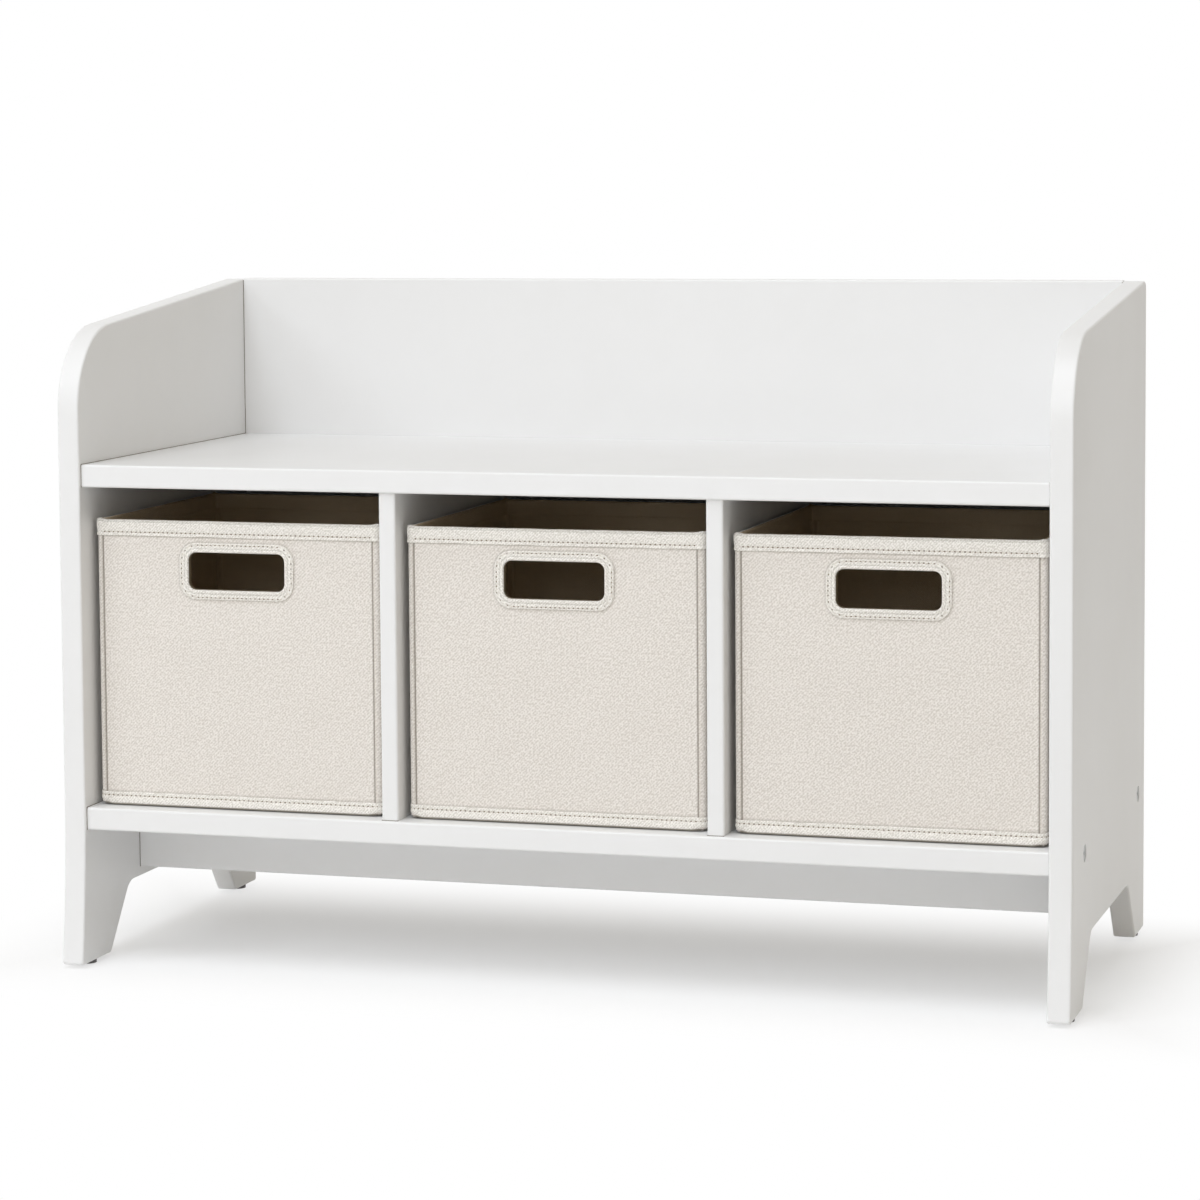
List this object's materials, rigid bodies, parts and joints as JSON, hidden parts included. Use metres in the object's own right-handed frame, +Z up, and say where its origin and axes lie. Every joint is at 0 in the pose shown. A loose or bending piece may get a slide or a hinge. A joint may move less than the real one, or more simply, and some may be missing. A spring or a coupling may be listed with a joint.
{
  "type": "toy storage bench with fabric bins",
  "caption": "White children's storage bench with rounded side panels, a raised back, short legs and cream fabric bins with hand slots that slide out of their bays.",
  "frame": {"origin": "on the floor, in the middle of the footprint", "axes": "+Z up, +X along the bench to the right as seen from the front, front faces -Y"},
  "size_m": [0.9, 0.4096, 0.6],
  "materials": {
    "white_paint": "satin white paint on board",
    "steel": "zinc-plated steel",
    "zinc": "die-cast zinc",
    "dowel_wood": "plain beech",
    "glide_plastic": "dark matt",
    "bin_canvas": "cream woven canvas",
    "bin_binding": "cream woven tape, stitched",
    "bin_lining": "dark brown nonwoven",
    "bin_board": "grey-brown fibreboard"
  },
  "bodies": {
    "cabinet": {"left_side_panel": "white_paint", "right_side_panel": "white_paint", "bench_top": "white_paint", "bottom_shelf": "white_paint", "left_divider": "white_paint", "right_divider": "white_paint", "upper_back_panel": "white_paint", "rear_sheet": "white_paint", "apron_rail": "white_paint", "connector_bolts": "steel", "cam_bolts": "steel", "back_panel_screws": "steel", "divider_screws": "steel", "apron_screws": "steel", "rear_sheet_screws": "steel", "barrel_nuts": "zinc", "cam_locks": "zinc", "large_dowels": "dowel_wood", "small_dowels": "dowel_wood", "leg_glides": "glide_plastic"},
    "left_bin": {"left_bin_canvas": "bin_canvas", "left_bin_lining": "bin_lining", "left_bin_front_board": "bin_board", "left_bin_back_board": "bin_board", "left_bin_left_board": "bin_board", "left_bin_right_board": "bin_board", "left_bin_base_board": "bin_board", "left_bin_rim_binding": "bin_binding", "left_bin_foot_binding": "bin_binding", "left_bin_handle_patch": "bin_binding"},
    "middle_bin": {"middle_bin_canvas": "bin_canvas", "middle_bin_lining": "bin_lining", "middle_bin_front_board": "bin_board", "middle_bin_back_board": "bin_board", "middle_bin_left_board": "bin_board", "middle_bin_right_board": "bin_board", "middle_bin_base_board": "bin_board", "middle_bin_rim_binding": "bin_binding", "middle_bin_foot_binding": "bin_binding", "middle_bin_handle_patch": "bin_binding"},
    "right_bin": {"right_bin_canvas": "bin_canvas", "right_bin_lining": "bin_lining", "right_bin_front_board": "bin_board", "right_bin_back_board": "bin_board", "right_bin_left_board": "bin_board", "right_bin_right_board": "bin_board", "right_bin_base_board": "bin_board", "right_bin_rim_binding": "bin_binding", "right_bin_foot_binding": "bin_binding", "right_bin_handle_patch": "bin_binding"}
  },
  "joints": [
    {"name": "left_bin_slide", "type": "slide", "parent": "cabinet", "child": "left_bin", "axis": [0, -1, 0], "range_m": [0, 0.31]},
    {"name": "middle_bin_slide", "type": "slide", "parent": "cabinet", "child": "middle_bin", "axis": [0, -1, 0], "range_m": [0, 0.31]},
    {"name": "right_bin_slide", "type": "slide", "parent": "cabinet", "child": "right_bin", "axis": [0, -1, 0], "range_m": [0, 0.31]}
  ]
}
